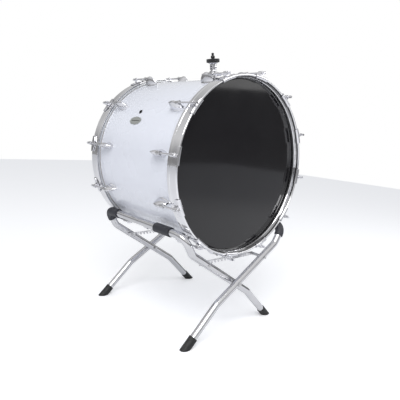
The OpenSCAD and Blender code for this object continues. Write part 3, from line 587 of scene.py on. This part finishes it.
def to_rod(joint):
    """The matrix from the local frame to one tension rod, and True where it mirrors."""
    x, y, z = joint["pos_m"]
    front = y < drum_centre.y
    around = math.atan2(x - drum_centre.x, z - drum_centre.z)
    side = Matrix.Identity(4) if front else Matrix.Scale(-1, 4, (0, 1, 0))
    start = Vector((drum_centre.x, rim_low if front else rim_high, drum_centre.z))
    return Matrix.Translation(start) @ side @ Matrix.Rotation(around, 4, "Y"), not front


print("rods:", len(rod_joints), "skin radius:", round(skin_radius, 4))


# %% Turning a bmesh into a finished object
def finish_piece(shape, name, finish, body, smooth=35.0):
    """A mesh object at the origin with one finish, riding on a body."""
    mesh = bpy.data.meshes.new(name)
    shape.to_mesh(mesh)
    shape.free()
    mesh.materials.append(finish)
    mesh.shade_smooth()
    mesh.set_sharp_from_angle(angle=math.radians(smooth))
    piece = bpy.data.objects.new(name, mesh)
    bpy.context.scene.collection.objects.link(piece)
    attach(piece, body)
    print(name, "faces:", len(mesh.polygons))
    return piece


def copies(shape, joints):
    """Copies of a bmesh at each rod, in one bmesh."""
    source = bpy.data.meshes.new("copy source")
    shape.to_mesh(source)
    shape.free()
    many = bmesh.new()
    for joint in joints:
        matrix, flipped = to_rod(joint)
        before = len(many.verts)
        many.from_mesh(source)
        many.verts.ensure_lookup_table()
        added = many.verts[before:]
        bmesh.ops.transform(many, matrix=matrix, verts=added)
        if flipped:
            bmesh.ops.reverse_faces(many, faces=list({f for v in added for f in v.link_faces}))
    bpy.data.meshes.remove(source)
    return many


# %% [markdown]
# ## Lugs
# A lug is a die-cast part with a pointed foot and a housing for the swivel nut, open towards the rim.
# The quickest smooth start is a sphere stretched along the drum: narrowing it towards its poles gives the
# points. A plane cuts the mouth, and an inset pushed inwards makes the housing hollow.

# %% The size of a lug, from its solids
front_y = [v.co.y for v in nodes["lugs"].data.vertices if v.co.y < drum_centre.y]
lug_start = min(front_y) - rim_low
lug_length = max(front_y) - min(front_y)
lug_mid = lug_start + lug_length / 2
lug_height = 0.032
lug_width = 0.025
foot_height = 0.0085
# The share of the foot's length and width that the housing takes
housing_long = 0.97
housing_wide = 0.86
# How quickly the foot, the housing and a crown narrow towards their points
foot_point = 0.5
housing_point = 0.42
crown_point = 0.45
mouth_depth = 0.0075
housing_wall = 0.0016
hollow_depth = 0.010
# How far a piece sits into the shell's skin
sunk = 0.0002
cut_tolerance = 1e-7
weld_distance = 1e-6
print("lug from", round(lug_start, 4), "length", round(lug_length, 4))


def spindle(length, width, height, pointed, steps=28, rings=18):
    """A body with a point at each end of y: half of it stands above z = 0."""
    shape = bmesh.new()
    bmesh.ops.create_uvsphere(shape, u_segments=steps, v_segments=rings, radius=1.0)
    lying = Matrix.Rotation(math.pi / 2, 3, "X")
    bmesh.ops.rotate(shape, verts=shape.verts, cent=(0, 0, 0), matrix=lying)
    for v in shape.verts:
        along = min(abs(v.co.y), 1.0)
        narrow = max(1.0 - along ** 2, 0.0) ** pointed
        v.co.x *= narrow
        v.co.z *= max(1.0 - along ** 2, 0.0) ** (pointed * crown_point)
    bmesh.ops.scale(shape, verts=shape.verts, vec=(width / 2, length / 2, height))
    bmesh.ops.remove_doubles(shape, verts=shape.verts, dist=weld_distance)
    return shape


def cut(shape, at, normal):
    """Cuts away what lies on the normal's side of a plane, closes the cut and gives the closing face."""
    geometry = shape.verts[:] + shape.edges[:] + shape.faces[:]
    done = bmesh.ops.bisect_plane(shape, geom=geometry, dist=cut_tolerance, plane_co=at, plane_no=normal,
                                  clear_outer=True)
    rim = [g for g in done["geom_cut"] if isinstance(g, bmesh.types.BMEdge)]
    return bmesh.ops.contextual_create(shape, geom=rim)["faces"]


# %% Foot and housing
def lug_shape():
    foot = spindle(lug_length, lug_width, foot_height, foot_point)
    cut(foot, (0, 0, 0), (0, 0, -1))
    housing = spindle(lug_length * housing_long, lug_width * housing_wide, lug_height, housing_point)
    cut(housing, (0, 0, 0), (0, 0, -1))
    mouth_y = -lug_length / 2 + mouth_depth
    mouth = cut(housing, (0, mouth_y, 0), (0, -1, 0))
    bmesh.ops.inset_region(housing, faces=mouth, thickness=housing_wall, use_even_offset=True)
    pushed = bmesh.ops.extrude_face_region(housing, geom=mouth)
    deep = [g for g in pushed["geom"] if isinstance(g, bmesh.types.BMVert)]
    bmesh.ops.translate(housing, verts=deep, vec=(0, hollow_depth, 0))
    bmesh.ops.delete(housing, geom=mouth, context="FACES_ONLY")
    source = bpy.data.meshes.new("lug part")
    housing.to_mesh(source)
    housing.free()
    foot.from_mesh(source)
    bpy.data.meshes.remove(source)
    bmesh.ops.translate(foot, verts=foot.verts, vec=(0, lug_mid, skin_radius - sunk))
    bmesh.ops.recalc_face_normals(foot, faces=foot.faces)
    return foot


lugs = finish_piece(copies(lug_shape(), rod_joints), "lug_castings", lug_chrome, "drum")
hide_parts("lugs")

# %% [markdown]
# ## Badge
# The badge is a bare oval plate with a raised border, bent to the shell. A circle scaled to an oval is
# extruded and then inset step by step: a rim, the border, a step down to the field, and a slight crown.
# Then every point is bent around the drum's axis, and the whole plate is turned to its place.

# %% Oval plate bent to the shell
badge_width = 0.028
badge_thickness = 0.0015
badge_gap = 0.0001
# Each inset's width and its rise
badge_steps = ((0.0006, 0.0), (0.0018, 0.0), (0.0005, -0.0006), (0.003, 0.0), (0.003, 0.00025))


def badge_shape():
    low, high = (Vector(p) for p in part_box("badge_plate"))
    middle = (low + high) / 2
    around = math.atan2(middle.x - drum_centre.x, middle.z - drum_centre.z)
    length = high.y - low.y
    shape = bmesh.new()
    bmesh.ops.create_circle(shape, cap_ends=True, segments=64, radius=0.5)
    bmesh.ops.scale(shape, verts=shape.verts, vec=(badge_width, length, 1))
    raised = bmesh.ops.extrude_face_region(shape, geom=shape.faces[:])
    top = [g for g in raised["geom"] if isinstance(g, bmesh.types.BMVert)]
    bmesh.ops.translate(shape, verts=top, vec=(0, 0, badge_thickness))
    face = [g for g in raised["geom"] if isinstance(g, bmesh.types.BMFace)]
    for step, rise in badge_steps:
        bmesh.ops.inset_region(shape, faces=face, thickness=step, depth=rise, use_even_offset=True)
    bmesh.ops.recalc_face_normals(shape, faces=shape.faces)
    for v in shape.verts:
        turn = v.co.x / skin_radius
        radius = skin_radius + badge_gap + v.co.z
        v.co = Vector((radius * math.sin(turn), v.co.y, radius * math.cos(turn)))
    turned = Matrix.Rotation(around, 3, "Y")
    bmesh.ops.rotate(shape, verts=shape.verts, cent=(0, 0, 0), matrix=turned)
    bmesh.ops.translate(shape, verts=shape.verts, vec=(drum_centre.x, middle.y, drum_centre.z))
    return shape


badge = finish_piece(badge_shape(), "badge", badge_metal, "drum", 25.0)
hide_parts("badge_plate")

# %% [markdown]
# ## Pieces turned on a lathe
# The felt, the wing nut's body and the cymbal cup are round. A profile drawn beside an axis and spun around
# it is the natural way to make them. The tilter leans a little, so the profile is spun upright at the origin
# and a matrix takes it to the leaning axis, which the wing nut's joint gives.

# %% The tilter's axis
nut_joint = next(j for j in frame["record"]["behaviour"]["joints"] if j["name"] == "wing_nut_turn")
tilt_axis = Vector(nut_joint["axis"]).normalized()
tilt_turn = Vector((0, 0, 1)).rotation_difference(tilt_axis).to_matrix().to_4x4()
to_tilter = Matrix.Translation(nut_joint["pos_m"]) @ tilt_turn
print("tilter leans", round(math.degrees(tilt_axis.angle(Vector((0, 0, 1)))), 1), "degrees")


def along_tilter(node):
    """The lowest and highest place of a node along the tilter's axis, and its largest radius."""
    back = to_tilter.inverted()
    points = [back @ v.co for v in nodes[node].data.vertices]
    return min(p.z for p in points), max(p.z for p in points), max(math.hypot(p.x, p.y) for p in points)


def lathe(profile, steps=56):
    """Spins a profile of (radius, height) points about z into a closed mesh."""
    shape = bmesh.new()
    verts = [shape.verts.new((r, 0, z)) for r, z in profile]
    line = [shape.edges.new(pair) for pair in zip(verts, verts[1:])]
    bmesh.ops.spin(shape, geom=verts + line, cent=(0, 0, 0), axis=(0, 0, 1), angle=math.tau,
                   steps=steps, use_merge=True)
    bmesh.ops.remove_doubles(shape, verts=shape.verts, dist=weld_distance)
    bmesh.ops.recalc_face_normals(shape, faces=shape.faces)
    return shape


most_of_side = 0.45


def rounded(outline, radius, steps=5):
    """Rounds the inner corners of an open outline of (radius, height) points."""
    points = [Vector(p) for p in outline]
    result = [points[0]]
    for before, corner, after in zip(points, points[1:], points[2:]):
        back, ahead = before - corner, after - corner
        reach = min(radius, back.length * most_of_side, ahead.length * most_of_side)
        start, stop = corner + back.normalized() * reach, corner + ahead.normalized() * reach
        for k in range(steps + 1):
            t = k / steps
            result.append(start.lerp(corner, t).lerp(corner.lerp(stop, t), t))
    result.append(points[-1])
    return [(p.x, p.y) for p in result]


# %% Felt, cup and nut
felt_low, felt_high, felt_radius = along_tilter("cymbal_felt")
stud_radius = 0.0040
felt_outline = [(stud_radius, felt_low), (felt_radius - 0.0002, felt_low + 0.0004),
                (felt_radius - 0.0001, felt_high - 0.0005), (stud_radius, felt_high)]
felt_profile = rounded(felt_outline, 0.0022)
felt_shape = lathe(felt_profile + felt_profile[:1], 72)
# A loose felt isn't quite round: its edge swells and sinks a little, always inside the outline
wave, sink = 0.006, 0.004
waves_x, waves_y = 900, 700
for v in felt_shape.verts:
    swell = 1 + wave * math.sin(v.co.x * waves_x) * math.cos(v.co.y * waves_y) - sink
    v.co.x, v.co.y = v.co.x * swell, v.co.y * swell
bmesh.ops.transform(felt_shape, matrix=to_tilter, verts=felt_shape.verts)
felt_disc = finish_piece(felt_shape, "felt_disc", felt_black, "tilt_head", 60.0)
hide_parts("cymbal_felt")

cup_low, cup_high, cup_radius = along_tilter("cymbal_cup")
cup_outline = [(stud_radius, cup_low), (0.009, cup_low), (0.0125, cup_low + 0.002),
               (cup_radius, cup_high - 0.0012), (cup_radius, cup_high), (stud_radius, cup_high)]
cup_profile = rounded(cup_outline, 0.0008)
cup_shape = lathe(cup_profile + cup_profile[:1])
bmesh.ops.transform(cup_shape, matrix=to_tilter, verts=cup_shape.verts)
cup = finish_piece(cup_shape, "cup_washer", lug_chrome, "tilt_head", 40.0)
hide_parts("cymbal_cup")

# %% Wing nut: a turned body and two wings
nut_low, nut_high, nut_reach = along_tilter("wing_nut")
bore = stud_radius - 0.0004
bore_depth = 0.009
nut_outline = [(bore, nut_low), (0.0055, nut_low), (0.0070, nut_low + 0.0035), (0.0066, nut_low + 0.0070),
               (0.0038, nut_low + 0.0100), (0.0036, nut_low + 0.0122), (0.0047, nut_low + 0.0150),
               (0.0038, nut_high - 0.0012), (0.0, nut_high)]
nut_shape = lathe([(bore, nut_low + bore_depth)] + rounded(nut_outline, 0.0012))
wing_size = (nut_reach * 0.62, 0.0030, 0.0058)
wing_out = nut_reach * 0.68
wing_height = nut_low + 0.0052
tip_from = nut_reach * 0.8
tip_lift = 0.0012
tip_thin = 0.75
wing_rounding = 0.0009
for side in (-1, 1):
    wing = bmesh.ops.create_cube(nut_shape, size=1.0)["verts"]
    bmesh.ops.scale(nut_shape, verts=wing, vec=wing_size)
    bmesh.ops.translate(nut_shape, verts=wing, vec=(side * wing_out, 0, wing_height))
    for v in wing:
        if v.co.x * side > tip_from:
            v.co.z += tip_lift
            v.co.y *= tip_thin
    wing_edges = list({e for v in wing for e in v.link_edges})
    bmesh.ops.bevel(nut_shape, geom=wing_edges, offset=wing_rounding, segments=3, profile=0.5,
                    affect="EDGES", material=-1)
bmesh.ops.transform(nut_shape, matrix=to_tilter, verts=nut_shape.verts)
nut = finish_piece(nut_shape, "wing_nut_moulding", nut_black, "stud_nut", 40.0)
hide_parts("wing_nut")

# %% [markdown]
# ## Floor, light and camera
# The floor is nearly white paper, and the world behind it is white. The world lights the drum softly from
# everywhere; for mirrored rays it has a few darker bands, because chrome in an all-white room shows no form.
# One large soft lamp above and in front gives the shading a direction, and a weaker one fills the other side.

# %% Floor
floor_size = 6.0
floor_gap = 0.0005
camera_lift = 0.22


def studio_floor():
    mesh = bpy.data.meshes.new("studio floor")
    shape = bmesh.new()
    bmesh.ops.create_grid(shape, x_segments=1, y_segments=1, size=floor_size)
    bmesh.ops.translate(shape, verts=shape.verts, vec=(0, 0, cad_box[0][2] - floor_gap))
    shape.to_mesh(mesh)
    shape.free()
    floor = bpy.data.objects.new("studio_floor", mesh)
    bpy.context.scene.collection.objects.link(floor)
    mat, tree, shader = material("floor paper")
    shader.inputs["Base Color"].default_value = (0.97, 0.97, 0.97, 1)
    shader.inputs["Roughness"].default_value = 1.0
    shader.inputs["Specular IOR Level"].default_value = 0.0
    shader.inputs["Emission Color"].default_value = (1, 1, 1, 1)
    path = add(tree, "ShaderNodeLightPath")
    lift = add(tree, "ShaderNodeMath", operation="MULTIPLY")
    lift.inputs[1].default_value = camera_lift
    join(tree, path.outputs["Is Camera Ray"], lift.inputs[0])
    join(tree, lift.outputs[0], shader.inputs["Emission Strength"])
    mesh.materials.append(mat)
    return floor


floor = studio_floor()
print("floor at", round(cad_box[0][2], 4))


# %% World: white to the eye, banded to a mirror
height_bands = [(0.0, 0.55), (0.42, 0.62), (0.50, 0.30), (0.56, 0.42), (0.66, 0.85), (1.0, 0.95)]
side_bands = [(0.0, 0.75), (0.16, 1.0), (0.30, 0.95), (0.38, 0.35), (0.46, 0.55), (0.60, 0.9),
              (0.75, 0.5), (0.88, 0.9), (1.0, 0.75)]
soft_light = {"Color": (0.93, 0.95, 1.0, 1), "Strength": 0.62}


def studio_world():
    world = bpy.data.worlds.new("studio")
    bpy.context.scene.world = world
    world.use_nodes = True
    tree = world.node_tree
    tree.nodes.clear()
    out = add(tree, "ShaderNodeOutputWorld")
    path = add(tree, "ShaderNodeLightPath")
    place_node = add(tree, "ShaderNodeTexCoord")
    split = add(tree, "ShaderNodeSeparateXYZ")
    join(tree, place_node.outputs["Generated"], split.inputs["Vector"])
    heights = ramp(tree, span(tree, split.outputs["Z"], 0.0, 1.0, -1.0, 1.0), height_bands)
    around = add(tree, "ShaderNodeMath", operation="ARCTAN2")
    join(tree, split.outputs["Y"], around.inputs[0])
    join(tree, split.outputs["X"], around.inputs[1])
    sides = ramp(tree, span(tree, around.outputs[0], 0.0, 1.0, -math.pi, math.pi), side_bands)
    mirrored = blend_colours(tree, 1.0, heights, sides, "MULTIPLY")
    soft = add(tree, "ShaderNodeBackground", soft_light)
    sharp = add(tree, "ShaderNodeBackground", {"Strength": 1.0})
    join(tree, mirrored, sharp.inputs["Color"])
    white = add(tree, "ShaderNodeBackground", {"Color": (1, 1, 1, 1), "Strength": 1.0})
    first = add(tree, "ShaderNodeMixShader")
    join(tree, path.outputs["Is Glossy Ray"], first.inputs[0])
    join(tree, soft.outputs[0], first.inputs[1])
    join(tree, sharp.outputs[0], first.inputs[2])
    second = add(tree, "ShaderNodeMixShader")
    join(tree, path.outputs["Is Camera Ray"], second.inputs[0])
    join(tree, first.outputs[0], second.inputs[1])
    join(tree, white.outputs[0], second.inputs[2])
    join(tree, second.outputs[0], out.inputs["Surface"])
    return world


studio = studio_world()
print("world:", studio.name)


# %% Lamps
def soft_lamp(name, place_at, aim, size, power):
    data = bpy.data.lights.new(name, "AREA")
    data.shape = "RECTANGLE"
    data.size, data.size_y = size
    data.energy = power
    lamp = bpy.data.objects.new(name, data)
    bpy.context.scene.collection.objects.link(lamp)
    lamp.location = place_at
    lamp.rotation_euler = (Vector(aim) - Vector(place_at)).to_track_quat("-Z", "Y").to_euler()
    return lamp


aim_point = (0, 0, 0.5)
key = soft_lamp("key lamp", (-1.6, -1.4, 2.6), aim_point, (1.8, 1.8), 48.0)
fill = soft_lamp("fill lamp", (1.8, -1.6, 1.8), aim_point, (1.6, 1.6), 14.0)
print("lamps:", key.name, fill.name)

# %% [markdown]
# ## Camera
# The drum is seen from its front left, a little above its middle, through a moderately wide lens that makes
# the near hoop look larger than the far one. Two of the camera's axes are written out, because it is slightly
# rolled, and the third is their cross product.

# %% Camera
camera_lens = 37.19
camera_place = (-1.0151, -1.1307, 0.6630)
camera_right = (0.73844, -0.67000, 0.07617)
camera_up = (0.05209, 0.16930, 0.98418)


def studio_camera():
    data = bpy.data.cameras.new("camera")
    data.lens = camera_lens
    data.sensor_width = 36.0
    camera = bpy.data.objects.new("camera", data)
    bpy.context.scene.collection.objects.link(camera)
    right = Vector(camera_right)
    up = Vector(camera_up)
    back = right.cross(up)
    turn = Matrix((right, up, back)).transposed().to_4x4()
    camera.matrix_world = Matrix.Translation(camera_place) @ turn
    bpy.context.scene.camera = camera
    return camera


camera = studio_camera()
bpy.context.scene.view_settings.view_transform = "Standard"
print("camera lens:", round(camera.data.lens, 2))
